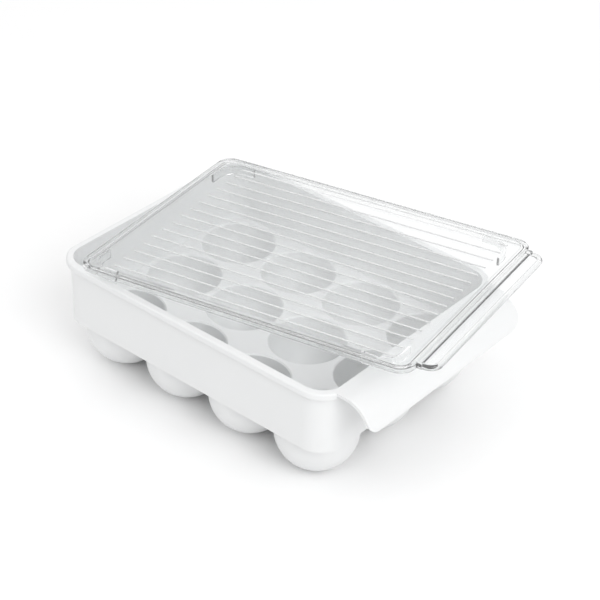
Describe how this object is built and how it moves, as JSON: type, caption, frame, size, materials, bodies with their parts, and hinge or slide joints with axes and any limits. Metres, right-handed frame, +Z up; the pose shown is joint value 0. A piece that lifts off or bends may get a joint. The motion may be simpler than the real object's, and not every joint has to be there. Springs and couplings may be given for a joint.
{
  "type": "egg keeper",
  "caption": "Covered egg keeper for a refrigerator shelf: white tray of round egg cups with a curved grip lip, and a loose clear ribbed lid with a lifting tab.",
  "frame": {"origin": "on the floor, at the middle of the whole footprint with the lid as it lies at rest", "axes": "+X along the tray to the grip lip, +Y to the back, +Z up"},
  "size_m": [0.2532, 0.1946, 0.0945],
  "materials": {
    "tray_plastic": "satin white moulded polypropylene",
    "lid_plastic": "clear moulded polystyrene, polished"
  },
  "bodies": {
    "tray": {"tray_wall": "tray_plastic", "egg_cup_1": "tray_plastic", "egg_cup_2": "tray_plastic", "egg_cup_3": "tray_plastic", "egg_cup_4": "tray_plastic", "egg_cup_5": "tray_plastic", "egg_cup_6": "tray_plastic", "egg_cup_7": "tray_plastic", "egg_cup_8": "tray_plastic", "egg_cup_9": "tray_plastic", "egg_cup_10": "tray_plastic", "egg_cup_11": "tray_plastic", "egg_cup_12": "tray_plastic", "grip_lip": "tray_plastic"},
    "lid": {"lid_frame": "lid_plastic", "lid_field": "lid_plastic", "lid_ribs": "lid_plastic", "lid_skirt_front_left": "lid_plastic", "lid_skirt_back_left": "lid_plastic", "lid_skirt_front_right": "lid_plastic", "lid_skirt_back_right": "lid_plastic", "lid_ridge": "lid_plastic", "lid_tab": "lid_plastic"}
  },
  "joints": [
    {"name": "lid_lift", "type": "slide", "parent": "tray", "child": "lid", "axis": [0, 0, 1], "range_m": [0, 0.09]}
  ]
}
